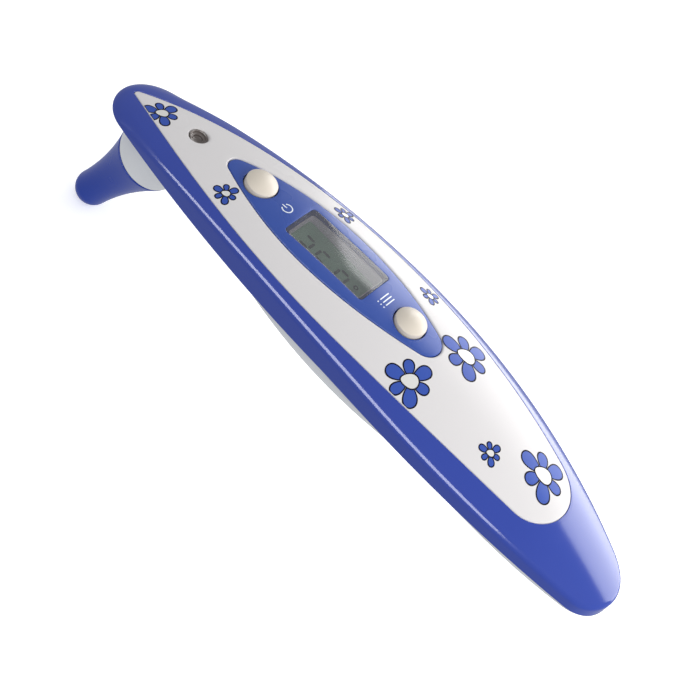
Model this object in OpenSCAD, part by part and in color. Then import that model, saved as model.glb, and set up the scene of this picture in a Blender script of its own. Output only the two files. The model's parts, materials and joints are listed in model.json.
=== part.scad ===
// Digital ear thermometer: a crowned leaf-shaped body with a flared probe at the back of one end.
// Millimetres. +Z leaves the front face, +Y runs along the body to the probe end, X is the width.
// The origin is below the middle of the body, level with the lowest point of the probe tip.

/* [Body outline] */
// overall length of the body
body_len = 150; // [120:1:180]
// overall width of the body
body_w = 36.7; // [30:0.1:44]
// distance of the widest place from mid-length, towards the tail
wide_off = 13; // [0:0.5:25]
// outline radius at the head tip
head_tip_r = 9; // [6:0.1:11]
// outline radius at the tail tip
tail_tip_r = 9.9; // [7:0.1:13]

/* [Front crown] */
// radius of the front face across the body
cross_r = 34.8; // [26:0.1:60]
// radius of the front face along the body, head half
long_r_head = 257; // [180:1:500]
// radius of the front face along the body, tail half
long_r_tail = 204; // [180:1:500]
// depth of the parting line below the top of the crown
part_z = 9.8; // [8:0.1:12]
// fall of the parting line towards the head, in mm for each mm along the body
part_slope = 0.036; // [0:0.005:0.05]
// radius of the parting line, tail half
part_r_tail = 335; // [250:5:900]
// wall of the front bezel
bezel_wall = 2.2; // [1.8:0.1:2.6]

/* [Decor plate and panel] */
// width of the decor plate
plate_w = 30.2; // [24:0.1:33]
// place of the pointed end of the plate along the body
plate_head = 72.2; // [66:0.1:74]
// place of the round end of the plate along the body
plate_tail = -55.1; // [-62:0.1:-45]
// radius of the round end of the plate
plate_tip_r = 9.8; // [6:0.1:12]
// thickness of the plate
plate_t = 1.1; // [0.8:0.1:1.4]
// width of the control panel
panel_w = 17; // [13:0.1:20]
// place of the panel's head end
panel_head = 45.8; // [40:0.1:50]
// place of the panel's tail end
panel_tail = -14.1; // [-20:0.1:-8]
// depth of the panel and the window below the plate's face
panel_sink = 0.15; // [0:0.05:0.4]

/* [Display and buttons] */
// width of the display window
window_w = 10.5; // [8:0.1:11]
// length of the display window
window_l = 21.8; // [18:0.1:24]
// place of the middle of the display window
window_y = 15.4; // [12:0.1:18]
// button diameter
button_d = 7.2; // [6:0.1:7.4]
// place of the ON button
on_y = 37.3; // [34:0.1:39]
// place of the MEM button
mem_y = -5.5; // [-8:0.1:-3]
// height of a button's dome top above the plate
button_up = 1.8; // [1.6:0.1:2.8]
// clearance round a button
button_gap = 0.3; // [0.2:0.05:0.4]
// place of the indicator hole
ind_y = 54.6; // [52:0.1:57]
// diameter of the indicator hole
ind_d = 4.3; // [3.5:0.1:4.6]

/* [Rear shell] */
// wall of the rear shell
rear_wall = 1.8; // [1.4:0.1:2.2]
// radius across the rear shell at its plain part
rear_r = 19.6; // [19:0.1:20]
// radius across the rear shell at its belly
belly_r = 20.7; // [20:0.1:21.5]
// radius of the belly along the body
belly_long_r = 140; // [120:5:200]

/* [Probe] */
// place of the seam between neck and cone along the body
seam_y = 62.2; // [60:0.1:64]
// depth of the seam below the top of the crown
seam_z = 21.3; // [20:0.1:24]
// lean of the probe towards the head end, degrees
probe_lean = 22; // [15:0.5:28]
// length of the cone from the seam to its tip
cone_l = 26.7; // [22:0.1:30]
// radius of the cone's cylindrical land
land_r = 7.85; // [7:0.05:8.2]
// length of the land from the seam
land_l = 1.6; // [1.4:0.1:4]
// radius of the cone's rounded tip
tip_r = 4.2; // [3.8:0.1:4.6]

/* [Electronics] */
// depth of the top of the circuit board below the top of the crown
pcb_z = 10; // [9.5:0.1:10.5]
// circuit board thickness
pcb_t = 1; // [0.8:0.1:1.6]
// coin cell diameter
cell_d = 20; // [20:0.1:20]
// coin cell thickness
cell_t = 3.2; // [3.2:0.1:3.2]
// place of the coin cell along the body
cell_y = -8; // [-10:0.1:-6]

/* [Hidden] */
$fn = 96;
ro = body_w / 2;                  // half width of the outline
yw = -wide_off;                   // place of the widest section
hl = body_len / 2;                // half length
fine = 360;                       // facets of the long arcs
cone_arc = (pow(cone_l - tip_r - land_l, 2) + pow(land_r - tip_r, 2)) / (2 * (land_r - tip_r));
drop = seam_z + (cone_l - tip_r) * cos(probe_lean) + tip_r;   // crown top above the probe tip
zc = 1;                           // depth of the rear shell's centre line
cell_z = pcb_z + pcb_t + 1.2;     // depth of the coin cell's inner face
sw_h = 2;                         // height of a switch body
screws = [[8.6, 33, 13.6, 6.6], [7.6, -55, 16.3, 4.8]];  // x, y, seat depth and reach of each pair
pcb_screw_y = [46, -36];
door_y0 = -27.2;                  // tail end of the battery door
door_y1 = 6;                      // head end of the battery door
door_hw = 12.4;                   // half width of the battery door
door_c = 5;                       // corner radius of the battery door
door_screw_y = -23.2;
cap_y = [[-5, -24], [5, -24], [-6.5, 44], [6.5, -16]];   // places of the board capacitors

// depth of the crown line at y, negative below the top
function crown(y) = let (r = y > 0 ? long_r_head : long_r_tail) sqrt(r * r - y * y) - r;
// depth of the parting line at y
function part_at(y) = y > 0 ? -part_z - part_slope * y
  : sqrt(part_r_tail * part_r_tail - y * y) - part_r_tail - part_z;

// everything is drawn with the crown top at z = 0 and lifted here
module lift() { translate([0, 0, drop]) children(); }

// one half of a leaf outline: side arcs meet at a tangent tip circle; e is its reach from the widest place
module half_leaf(w, e, r) {
  big = round(((e - r) * (e - r) + w * w - r * r) / (2 * (w - r)) * 100) / 100;
  a = atan2(e - r, big - w);
  intersection() {
    translate([w - big, 0]) circle(r = big, $fn = fine * 2);
    translate([big - w, 0]) circle(r = big, $fn = fine * 2);
    translate([-w - 1, 0]) square([2 * w + 2, big * sin(a)]);
  }
  translate([0, e - r - 0.02]) circle(r = r + 0.02);
}

// leaf outline pulled in by d
module leaf(w, head, rh, tail, rt, y0, d = 0) {
  translate([0, y0]) {
    half_leaf(w - d, head - y0 - d, rh - d);
    mirror([0, 1]) half_leaf(w - d, y0 - tail - d, rt - d);
  }
}
module body_leaf(d = 0) { leaf(ro, hl, head_tip_r, -hl, tail_tip_r, yw, d); }
module plate_leaf(d = 0) { leaf(plate_w / 2, plate_head, 0.8, plate_tail, plate_tip_r, 4.9, d); }
module panel_leaf(d = 0) { leaf(panel_w / 2, panel_head, 2.5, panel_tail, 4, 16.4, d); }
module rear_leaf(d = 0) { leaf(ro - 0.9, hl - 3.5, 8.5, 1 - hl, tail_tip_r - 1, yw, d); }
module board_leaf() {
  intersection() {
    body_leaf(4.7);
    translate([-20, -42]) square([40, 99.5]);
  }
}
module window_rect(d = 0) {
  hx = window_w / 2 - d;
  hy = window_l / 2 - d;
  c = 0.9;
  translate([0, window_y]) union() {
    square([2 * hx - 2 * c, 2 * hy], center = true);
    square([2 * hx, 2 * hy - 2 * c], center = true);
    for (i = [-1, 1], j = [-1, 1]) translate([i * (hx - c), j * (hy - c)]) circle(r = c, $fn = 32);
  }
}
module door_rect(d = 0) {
  c = door_c - d;
  x = door_hw - d;
  m = (door_y0 + door_y1) / 2;
  h = (door_y1 - door_y0) / 2 - d;
  translate([0, m]) union() {
    square([2 * x - 2 * c, 2 * h], center = true);
    square([2 * x, 2 * h - 2 * c], center = true);
    for (i = [-1, 1], j = [-1, 1]) translate([i * (x - c), j * (h - c)]) circle(r = c);
  }
}

// a 2D outline as a tall block
module tall(z0 = -40, h = 50) { translate([0, 0, z0]) linear_extrude(height = h) children(); }

// solid of revolution about the Y direction: radius rm at y = yc, shrinking along arcs rh and rt
module spindle(rm, rh, rt, yc, end, d = 0) {
  rotate([-90, 0, 0]) rotate_extrude($fn = 180) union() {
    intersection() {
      translate([rm - rh, yc]) circle(r = rh + d, $fn = fine * 2);
      translate([0, yc]) square([rm + d + 2, end - yc]);
    }
    intersection() {
      translate([rm - rt, yc]) circle(r = rt + d, $fn = fine * 2);
      translate([0, -end]) square([rm + d + 2, yc + end]);
    }
  }
}
// all that lies below the front crown raised by d
module crown_body(d = 0) { translate([0, 0, -cross_r]) spindle(cross_r, long_r_head, long_r_tail, 0, 88, d); }
// all that lies above the rear surface
module rear_body(d = 0) {
  translate([0, 0, -zc]) {
    spindle(rear_r, 690, 1500, -30, 88, d);
    spindle(belly_r, belly_long_r, belly_long_r, -2, 55, d);
  }
}
// all that lies below the parting line lowered by d
module below_part(d = 0) {
  rotate([90, 0, 90]) linear_extrude(height = 60, center = true) union() {
    polygon([[0, -60], [90, -60], [90, -part_z - 90 * part_slope - d], [0, -part_z - d]]);
    intersection() {
      translate([0, -part_z - part_r_tail]) circle(r = part_r_tail - d, $fn = fine * 2);
      translate([-90, -60]) square([90, 60]);
    }
  }
}
// a layer of the front face between two heights, inside the given outline
module skin(top, bottom) {
  difference() {
    intersection() { tall() children(); crown_body(top); }
    crown_body(bottom);
  }
}
// probe frame: local z runs from the seam to the tip
module probe() { translate([0, seam_y, -seam_z]) rotate([180 + probe_lean, 0, 0]) children(); }

module front_bezel() {
  color([0.12, 0.17, 0.55]) lift() difference() {
    union() {
      difference() {
        intersection() { tall() body_leaf(); crown_body(); }
        below_part();
        intersection() { tall() body_leaf(bezel_wall); crown_body(-bezel_wall); }
      }
      // bosses for the case screws and the circuit board
      intersection() {
        union() {
          for (s = screws, i = [-1, 1])
            translate([i * s[0], s[1], part_at(s[1]) + 0.5]) cylinder(r = 2.4, h = 20);
          for (y = pcb_screw_y) translate([0, y, -pcb_z]) cylinder(r = 2, h = 20);
        }
        crown_body(-bezel_wall / 2);
        tall() body_leaf(bezel_wall / 2);
      }
    }
    // pocket of the decor plate
    difference() { tall() plate_leaf(-0.1); crown_body(-plate_t - 0.05); }
    // openings of the display, the buttons and the indicator
    tall(-8, 10) window_rect(0.7);
    for (y = [on_y, mem_y])
      translate([0, y, crown(y) - 6]) cylinder(r = button_d / 2 + button_gap, h = 8);
    translate([0, ind_y, crown(ind_y) - 6]) cylinder(r = ind_d / 2, h = 8);
    // pilot holes
    for (s = screws, i = [-1, 1]) translate([i * s[0], s[1], -s[2] - 1]) cylinder(r = 0.95, h = s[3] + 1.3);
    for (y = pcb_screw_y) translate([0, y, -pcb_z - 1]) cylinder(r = 0.75, h = 3.6);
  }
}

module decor_plate() {
  color([0.93, 0.93, 0.92]) lift() difference() {
    skin(0, -plate_t) plate_leaf();
    tall() panel_leaf(-0.1);
    translate([0, ind_y, -12]) cylinder(r = ind_d / 2, h = 14);
  }
}

module control_panel() {
  color([0.16, 0.24, 0.62]) lift() difference() {
    skin(-panel_sink, -plate_t) panel_leaf();
    tall() window_rect(-0.05);
    for (y = [on_y, mem_y]) translate([0, y, -10]) cylinder(r = button_d / 2 + button_gap, h = 14);
  }
}

module lcd_window() { color([0.55, 0.6, 0.55, 0.6]) lift() skin(-panel_sink, -plate_t) window_rect(); }

// domed cap, retaining flange and the stem that works the switch
module button(y, flange) {
  top = crown(y) + button_up;
  rise = 1.3;
  rb = button_d / 2;
  rs = (rb * rb + rise * rise) / (2 * rise);
  lift() translate([0, y, 0]) {
    intersection() {
      translate([0, 0, top - rs]) sphere(r = rs);
      translate([0, 0, top - 4]) cylinder(r = rb, h = 6);
    }
    translate([0, 0, -flange]) cylinder(r = rb, h = flange + top - 1.6);
    translate([0, 0, -flange - 0.7]) cylinder(r = rb + 0.8, h = 0.7);
    translate([0, 0, -pcb_z + 1.05]) cylinder(r = 1, h = pcb_z - 1.05 - flange);
  }
}
module on_button() { color([0.95, 0.92, 0.84]) button(on_y, 5.9); }
module mem_button() { color([0.95, 0.92, 0.84]) button(mem_y, 3.1); }

module indicator_lens() {
  color([0.3, 0.27, 0.26]) lift() translate([0, ind_y, crown(ind_y) - 2.5]) difference() {
    cylinder(r = ind_d / 2 - 0.1, h = 2.2);
    translate([0, 0, 1.6]) cylinder(r = ind_d / 2 - 0.45, h = 2);
    translate([0, 0, 1]) cylinder(r = ind_d / 2 - 0.95, h = 2);
  }
}
module indicator_led() {
  color([0.85, 0.85, 0.8]) lift() translate([0, ind_y, -pcb_z]) {
    translate([-1.3, -0.8, 0]) cube([2.6, 1.6, 0.6]);
    cylinder(r = 0.6, h = 1.1, $fn = 32);
  }
}

module rear_shell() {
  color([0.93, 0.93, 0.93]) lift() difference() {
    union() {
      difference() {
        intersection() { tall() rear_leaf(); rear_body(); below_part(); }
        intersection() { tall() rear_leaf(rear_wall); rear_body(-rear_wall); }
      }
      // locating tongue inside the bezel wall
      difference() {
        intersection() {
          tall() difference() { body_leaf(bezel_wall + 0.1); body_leaf(bezel_wall + 1.2); }
          below_part(-1.6);
          rear_body(-0.5);
          crown_body(-bezel_wall - 0.4);
        }
        below_part(1.5);
        for (i = [-1, 1]) translate([i * screws[1][0], screws[1][1], -30]) cylinder(r = 2.8, h = 40);
      }
      // screw bosses
      intersection() {
        union() {
          for (s = screws, i = [-1, 1]) translate([i * s[0], s[1], -30]) cylinder(r = 2.7, h = 30);
          translate([0, door_screw_y, -30]) cylinder(r = 2.3, h = 30 - cell_z - 0.4);
          translate([0, door_screw_y, -30]) cylinder(r = 4.4, h = 13);
          intersection() {
            probe() translate([0, 0, -13]) cylinder(r = 9.9, h = 9);
            tall() rear_leaf(0.3);
          }
        }
        rear_body(-rear_wall / 2);
        below_part(0.02);
      }
    }
    for (s = screws, i = [-1, 1]) translate([i * s[0], s[1], -30]) {
      cylinder(r = 1.15, h = 30);
      cylinder(r = 2.05, h = 30 - s[2]);
    }
    // door recess, cell opening and door screw hole
    difference() { tall(-40, 36) door_rect(-0.25); rear_body(-1.05); }
    translate([0, cell_y, -40]) cylinder(r = 11, h = 30);
    translate([0, door_screw_y, -30]) cylinder(r = 1.1, h = 30 - cell_z);
    translate([0, door_screw_y, -40]) cylinder(r = 3.5, h = 21.9);
    probe() translate([0, 0, -16]) cylinder(r = 8.3, h = 36);
  }
}

// countersunk pan screw, head down, seat at z = 0
module screw(rh, hh, rs, l) {
  translate([0, 0, -hh]) difference() {
    cylinder(r = rh, h = hh);
    translate([0, 0, -0.1]) cube([rh * 1.3, 0.5, 1], center = true);
    translate([0, 0, -0.1]) cube([0.5, rh * 1.3, 1], center = true);
  }
  cylinder(r = rs, h = l);
}
module case_screws() {
  color([0.7, 0.7, 0.72]) lift()
    for (s = screws, i = [-1, 1]) translate([i * s[0], s[1], -s[2]]) screw(1.8, 1.1, 0.9, s[3]);
}

module battery_door() {
  color([0.9, 0.9, 0.9]) lift() difference() {
    union() {
      difference() {
        intersection() { tall() door_rect(); rear_body(); }
        rear_body(-1);
      }
      difference() {
        intersection() { translate([0, cell_y, -40]) cylinder(r = 10.6, h = 30); rear_body(-0.5); }
        rear_body(-rear_wall);
      }
      intersection() { translate([0, door_screw_y, -40]) cylinder(r = 3.2, h = 21.8); rear_body(); }
    }
    translate([0, door_screw_y, -40]) cylinder(r = 1.2, h = 30);
    translate([0, door_screw_y, -40]) cylinder(r = 2.1, h = 20.7);
    translate([0, door_y1 - 3.2, -belly_r - zc - 2.4]) rotate([0, 90, 0])
      translate([0, 0, -5]) cylinder(r = 2.9, h = 10);
  }
}
module battery_door_screw() {
  color([0.7, 0.7, 0.72]) lift() translate([0, door_screw_y, -19.3]) screw(1.8, 0.9, 0.9, 5.6);
}
module door_pad() {
  color([0.35, 0.35, 0.37]) lift() difference() {
    translate([0, cell_y, -21]) cylinder(r = 5, h = 21 - cell_z - cell_t - 0.25);
    difference() { tall(-40, 36) square([40, 60], center = true); rear_body(-rear_wall); }
  }
}

module probe_neck() {
  color([0.95, 0.95, 0.95]) lift() intersection() {
    probe() difference() {
      union() {
        translate([0, 0, -10.4]) cylinder(r = 8.2, h = 9.4);
        translate([0, 0, -1]) cylinder(r1 = 8.2, r2 = 7.95, h = 1);
      }
      translate([0, 0, -20]) cylinder(r = 6.4, h = 21);
    }
    below_part(0.2);
  }
}
module probe_seal() {
  color([0.2, 0.2, 0.22]) lift() probe() translate([0, 0, 0.02]) rotate_extrude()
    translate([6.5, 0]) square([1.1, 0.26]);
}
module probe_cone() {
  color([0.14, 0.22, 0.6]) lift() probe() rotate_extrude() difference() {
    union() {
      difference() {
        translate([0, 0.3]) square([land_r, cone_l - tip_r - 0.3]);
        translate([tip_r + cone_arc, cone_l - tip_r]) circle(r = cone_arc, $fn = fine);
      }
      intersection() {
        translate([0, cone_l - tip_r]) circle(r = tip_r);
        translate([0, cone_l - tip_r - 1]) square([tip_r + 1, tip_r + 1]);
      }
    }
    translate([-1, 0]) square([6.8, 5.2]);
    translate([-1, 5]) square([3.6, cone_l - 6.2]);
    translate([-1, 5]) square([2.5, cone_l]);
  }
}
module probe_window() {
  color([0.3, 0.3, 0.34]) lift() probe() translate([0, 0, cone_l - 1.75]) cylinder(r = 2.5, h = 0.5);
}
module waveguide_tube() {
  color([0.85, 0.68, 0.3]) lift() probe() translate([0, 0, 1]) difference() {
    cylinder(r = 2.3, h = cone_l - 2.85);
    translate([0, 0, -1]) cylinder(r = 1.8, h = cone_l);
  }
}
module sensor_holder() {
  color([0.75, 0.76, 0.78]) lift() probe() difference() {
    translate([0, 0, -4.6]) cylinder(r = 5.6, h = 9.4);
    translate([0, 0, -5]) cylinder(r = 3.3, h = 5.9);
    cylinder(r = 2.4, h = 6);
  }
}
module thermopile_sensor() {
  color([0.8, 0.78, 0.7]) lift() probe() {
    translate([0, 0, -2.4]) cylinder(r = 2.7, h = 3.2);
    translate([0, 0, -2.9]) cylinder(r = 3.1, h = 0.5);
    for (a = [0 : 90 : 270]) rotate(a + 45) translate([1.8, 0, -5.1]) cylinder(r = 0.22, h = 2.3, $fn = 24);
  }
}
module sensor_board() {
  color([0.1, 0.4, 0.25]) lift() probe() translate([0, 0, -5.9]) cylinder(r = 4.6, h = 0.8);
}
module sensor_ribbon() {
  color([0.75, 0.5, 0.2]) lift() rotate([90, 0, 90]) linear_extrude(height = 5, center = true)
    polygon([[57.4, -16.65], [55.7, -12.6], [53.4, -11.3], [49, -11.3],
      [49, -11.02], [53.5, -11.02], [56, -12.45], [57.8, -16.5]]);
}

module main_board() {
  color([0.08, 0.38, 0.2]) lift() difference() {
    translate([0, 0, -pcb_z - pcb_t]) linear_extrude(height = pcb_t) difference() {
      board_leaf();
      for (i = [-1, 1]) translate([i * screws[0][0], screws[0][1]]) circle(r = 3);
      for (y = pcb_screw_y) translate([0, y]) circle(r = 0.95, $fn = 32);
    }
  }
}
module board_screws() {
  color([0.7, 0.7, 0.72]) lift()
    for (y = pcb_screw_y) translate([0, y, -pcb_z - pcb_t]) screw(1.4, 0.8, 0.7, 3.2);
}
module controller_chip() {
  color([0.1, 0.1, 0.11]) lift() translate([0, 37.5, -pcb_z - pcb_t - 1.1])
    translate([-3.5, -3.5, 0]) cube([7, 7, 1.1]);
}
module crystal_can() {
  color([0.75, 0.76, 0.78]) lift() translate([6.1, 19, -pcb_z - pcb_t - 1]) rotate([-90, 0, 0])
    cylinder(r = 1, h = 6, $fn = 48);
}
module board_capacitors() {
  color([0.7, 0.6, 0.45]) lift() for (p = cap_y)
    translate([p[0] - 1, p[1] - 0.6, -pcb_z]) cube([2, 1.2, 0.8]);
}
module buzzer() {
  color([0.12, 0.12, 0.13]) lift() translate([0, 24, -pcb_z - pcb_t - 2.6]) difference() {
    cylinder(r = 4.6, h = 2.6);
    translate([0, 0, -1]) cylinder(r = 0.8, h = 2);
  }
}
// switch body with a well that takes the button's stem
module tact(y) {
  lift() translate([0, y, -pcb_z]) difference() {
    translate([-3, -3, 0]) cube([6, 6, sw_h]);
    translate([0, 0, 0.2]) cylinder(r = 1.3, h = 5);
  }
}
module on_switch() { color([0.15, 0.15, 0.16]) tact(on_y); }
module mem_switch() { color([0.15, 0.15, 0.16]) tact(mem_y); }

module lcd_glass() {
  color([0.6, 0.66, 0.6]) lift() translate([-5.9, window_y - 11.7, -6.1]) cube([11.8, 23.4, 1.6]);
}
module lcd_frame() {
  color([0.9, 0.9, 0.88]) lift() difference() {
    translate([-7.1, window_y - 12.9, -pcb_z]) cube([14.2, 25.8, pcb_z - 4.9]);
    translate([-6.1, window_y - 11.9, -pcb_z - 1]) cube([12.2, 23.8, 8]);
  }
}
module contact_strips() {
  color([0.3, 0.3, 0.32]) lift() for (i = [-1, 1])
    translate([i * 4.9 - 0.9, window_y - 11, -pcb_z]) cube([1.8, 22, pcb_z - 6.1]);
}

module coin_cell() {
  color([0.78, 0.79, 0.8]) lift() translate([0, cell_y, -cell_z - cell_t]) {
    cylinder(r = cell_d / 2, h = cell_t - 0.5);
    translate([0, 0, cell_t - 0.5]) cylinder(r = cell_d / 2 - 1.2, h = 0.5);
  }
}
module cell_cradle() {
  color([0.15, 0.15, 0.16]) lift() translate([0, cell_y, -cell_z - 2.6]) difference() {
    cylinder(r = 11.2, h = cell_z + 2.6 - pcb_z - pcb_t);
    translate([0, 0, -1]) cylinder(r = 10.25, h = 10);
    translate([8, -2.3, -1]) cube([6, 4.6, 10]);
  }
}
module cell_contact_plus() {
  color([0.8, 0.72, 0.5]) lift() translate([10.05, cell_y - 2, -cell_z - 2.4]) {
    cube([0.35, 4, cell_z + 2.4 - pcb_z - pcb_t]);
  }
}
module cell_contact_minus() {
  color([0.8, 0.72, 0.5]) lift() translate([0, cell_y, -pcb_z - pcb_t - 1.15]) difference() {
    cylinder(r1 = 2, r2 = 6, h = 1.15);
    translate([0, 0, 0.3]) cylinder(r1 = 2, r2 = 6, h = 1.15);
  }
}

front_bezel();
decor_plate();
control_panel();
lcd_window();
on_button();
mem_button();
indicator_lens();
indicator_led();
rear_shell();
case_screws();
battery_door();
battery_door_screw();
door_pad();
probe_neck();
probe_seal();
probe_cone();
probe_window();
waveguide_tube();
sensor_holder();
thermopile_sensor();
sensor_board();
sensor_ribbon();
main_board();
board_screws();
controller_chip();
crystal_can();
board_capacitors();
buzzer();
on_switch();
mem_switch();
lcd_glass();
lcd_frame();
contact_strips();
coin_cell();
cell_cradle();
cell_contact_plus();
cell_contact_minus();
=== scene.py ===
import json
import math

import bpy
import bmesh
from mathutils import Vector
from mathutils.geometry import delaunay_2d_cdt
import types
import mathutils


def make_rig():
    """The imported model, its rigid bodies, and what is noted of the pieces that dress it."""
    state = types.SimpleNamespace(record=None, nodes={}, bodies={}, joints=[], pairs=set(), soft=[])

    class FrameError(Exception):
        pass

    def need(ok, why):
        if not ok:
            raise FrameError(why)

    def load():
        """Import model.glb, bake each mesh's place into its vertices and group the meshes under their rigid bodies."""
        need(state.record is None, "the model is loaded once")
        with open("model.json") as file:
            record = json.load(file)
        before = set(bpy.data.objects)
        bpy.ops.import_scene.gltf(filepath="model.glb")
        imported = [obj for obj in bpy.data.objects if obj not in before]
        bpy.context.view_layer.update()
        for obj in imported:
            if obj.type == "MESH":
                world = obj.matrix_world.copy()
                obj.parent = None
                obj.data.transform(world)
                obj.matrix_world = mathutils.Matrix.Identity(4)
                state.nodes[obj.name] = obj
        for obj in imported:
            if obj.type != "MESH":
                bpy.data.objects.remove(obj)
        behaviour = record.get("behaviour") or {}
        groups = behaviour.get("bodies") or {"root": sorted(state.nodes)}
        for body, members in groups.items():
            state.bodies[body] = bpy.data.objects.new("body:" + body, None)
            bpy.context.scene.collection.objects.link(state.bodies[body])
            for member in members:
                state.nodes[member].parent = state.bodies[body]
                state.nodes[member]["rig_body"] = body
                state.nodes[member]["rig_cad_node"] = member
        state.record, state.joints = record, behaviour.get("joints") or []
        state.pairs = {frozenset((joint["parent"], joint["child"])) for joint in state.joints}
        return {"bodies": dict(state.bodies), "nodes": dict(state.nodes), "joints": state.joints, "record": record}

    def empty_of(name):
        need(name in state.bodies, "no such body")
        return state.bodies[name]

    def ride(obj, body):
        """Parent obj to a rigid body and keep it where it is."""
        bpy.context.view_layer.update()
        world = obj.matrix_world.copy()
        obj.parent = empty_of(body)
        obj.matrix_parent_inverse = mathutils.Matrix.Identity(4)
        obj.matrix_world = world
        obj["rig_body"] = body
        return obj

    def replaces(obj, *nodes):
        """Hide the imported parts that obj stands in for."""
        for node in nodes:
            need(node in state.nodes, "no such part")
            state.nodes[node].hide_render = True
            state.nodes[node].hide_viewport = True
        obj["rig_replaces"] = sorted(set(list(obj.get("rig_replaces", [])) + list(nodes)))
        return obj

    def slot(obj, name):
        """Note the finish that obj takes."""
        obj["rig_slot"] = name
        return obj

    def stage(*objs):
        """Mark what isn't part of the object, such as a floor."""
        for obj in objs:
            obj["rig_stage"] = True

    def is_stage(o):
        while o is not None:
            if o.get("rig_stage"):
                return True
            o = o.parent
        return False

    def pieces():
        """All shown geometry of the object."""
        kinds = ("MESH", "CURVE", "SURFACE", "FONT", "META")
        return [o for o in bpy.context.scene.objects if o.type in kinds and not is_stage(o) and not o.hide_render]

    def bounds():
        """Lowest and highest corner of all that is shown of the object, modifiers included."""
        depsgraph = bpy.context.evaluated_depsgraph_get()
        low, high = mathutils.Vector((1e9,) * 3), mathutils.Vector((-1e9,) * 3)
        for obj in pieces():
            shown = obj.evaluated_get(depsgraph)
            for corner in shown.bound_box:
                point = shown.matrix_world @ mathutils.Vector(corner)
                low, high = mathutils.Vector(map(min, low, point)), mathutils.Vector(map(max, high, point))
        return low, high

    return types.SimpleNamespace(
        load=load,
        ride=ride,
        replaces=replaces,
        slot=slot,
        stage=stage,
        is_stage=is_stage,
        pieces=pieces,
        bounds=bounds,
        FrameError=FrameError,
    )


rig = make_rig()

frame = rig.load()
CAD_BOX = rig.bounds()
nodes = frame["nodes"]
MM = 0.001

# ---------------------------------------------------------------- shape of the object, mm
LEAN = math.radians(22)               # lean of the probe towards the head end
SEAM_Y, SEAM_Z = 62.2, 21.3           # seam between the neck and the cone
CONE_L, TIP_R, RIM_R = 26.7, 4.2, 7.85
TOP = SEAM_Z + (CONE_L - TIP_R) * math.cos(LEAN) + TIP_R   # crown above the probe's tip
CROSS_R, LONG_HEAD, LONG_TAIL = 34.8, 257.0, 204.0         # radii of the crown across and along
PART_Z, PART_SLOPE, PART_R = 9.8, 0.036, 335.0             # parting line
HALF = 75.0                           # half length of the body
WALL = 2.2                            # wall of the bezel
PLATE_T = 1.1                         # thickness of the plate, the panel and the window
POCKET = 1.16                         # depth of the plate's pocket in the bezel
GAP = 0.1                             # clearance round the plate and the panel
LIP = 0.45                            # radius of the plate's lip round the panel
PANEL_SINK = 0.15                     # panel and window below the plate's face
WINDOW_Y, WINDOW_W, WINDOW_L = 15.4, 10.5, 21.8
LCD_Z = -4.5                          # face of the display
ON_Y, MEM_Y, BUTTON_R, BUTTON_GAP, BUTTON_UP = 37.3, -5.5, 3.6, 0.3, 1.8
IND_Y, IND_R = 54.6, 2.15             # indicator hole


def crown(x, y, d=0.0):
    """Height of the front crown raised by d, below the top of the crown."""
    big = LONG_HEAD if y > 0 else LONG_TAIL
    r = CROSS_R - big + math.sqrt((big + d) ** 2 - y * y)
    return -CROSS_R + math.sqrt(max(r * r - x * x, 0.0))


def parting(y):
    """Height of the parting line between the bezel and the rear shell."""
    if y > 0:
        return -PART_Z - PART_SLOPE * y
    return math.sqrt(PART_R * PART_R - y * y) - PART_R - PART_Z


class Leaf:
    """Outline of two side arcs per half that run into a tangent tip circle."""

    def __init__(self, w, head, rh, tail, rt, y0, d=0.0):
        self.y0, self.w = y0, w - d
        self.halves = []
        for reach, r in ((head - y0 - d, rh - d), (y0 - tail - d, rt - d)):
            e = reach - r
            big = (e * e + self.w ** 2 - r * r) / (2 * (self.w - r))
            self.halves.append((e, r, big, math.atan2(e, big - self.w)))

    def sd(self, x, y):
        """Signed distance and outward unit normal."""
        v = y - self.y0
        e, r, big, a = self.halves[0 if v >= 0 else 1]
        sx, sv = (1 if x >= 0 else -1), (1 if v >= 0 else -1)
        ax, av = abs(x), abs(v)
        if math.atan2(av, ax + big - self.w) < a:
            dx, dv, rad = ax + big - self.w, av, big
        else:
            dx, dv, rad = ax, av - e, r
        length = math.hypot(dx, dv) or 1e-9
        return length - rad, sx * dx / length, sv * dv / length

    def points(self, step, tip_step):
        """Closed loop, counter-clockwise from the widest place on the right."""
        quarter = []
        for half, sv in ((0, 1), (1, -1)):
            e, r, big, a = self.halves[half]
            n = max(4, int(big * a / step))
            m = max(6, int(r * (math.pi / 2 - a) / tip_step))
            arc = [(self.w - big + big * math.cos(a * i / n), big * math.sin(a * i / n)) for i in range(n)]
            arc += [(r * math.cos(a + (math.pi / 2 - a) * i / m),
                     e + r * math.sin(a + (math.pi / 2 - a) * i / m)) for i in range(m + 1)]
            quarter.append([(x, self.y0 + sv * v) for x, v in arc])
        up, down = quarter
        loop = up + [(-x, y) for x, y in reversed(up[:-1])]
        loop += [(-x, y) for x, y in down[1:]] + [(x, y) for x, y in reversed(down[1:-1])]
        return loop


# half width, head end, head tip radius, tail end, tail tip radius, widest place
BODY = (18.35, HALF, 9.0, -HALF, 9.9, -13.0)
PLATE = (15.1, 72.2, 0.8, -55.1, 9.8, 4.9)
PANEL = (8.5, 45.8, 2.5, -14.1, 4.0, 16.4)


def body_leaf(d=0.0):
    return Leaf(*BODY, d)


def plate_leaf(d=0.0):
    return Leaf(*PLATE, d)


def panel_leaf(d=0.0):
    return Leaf(*PANEL, d)


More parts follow.
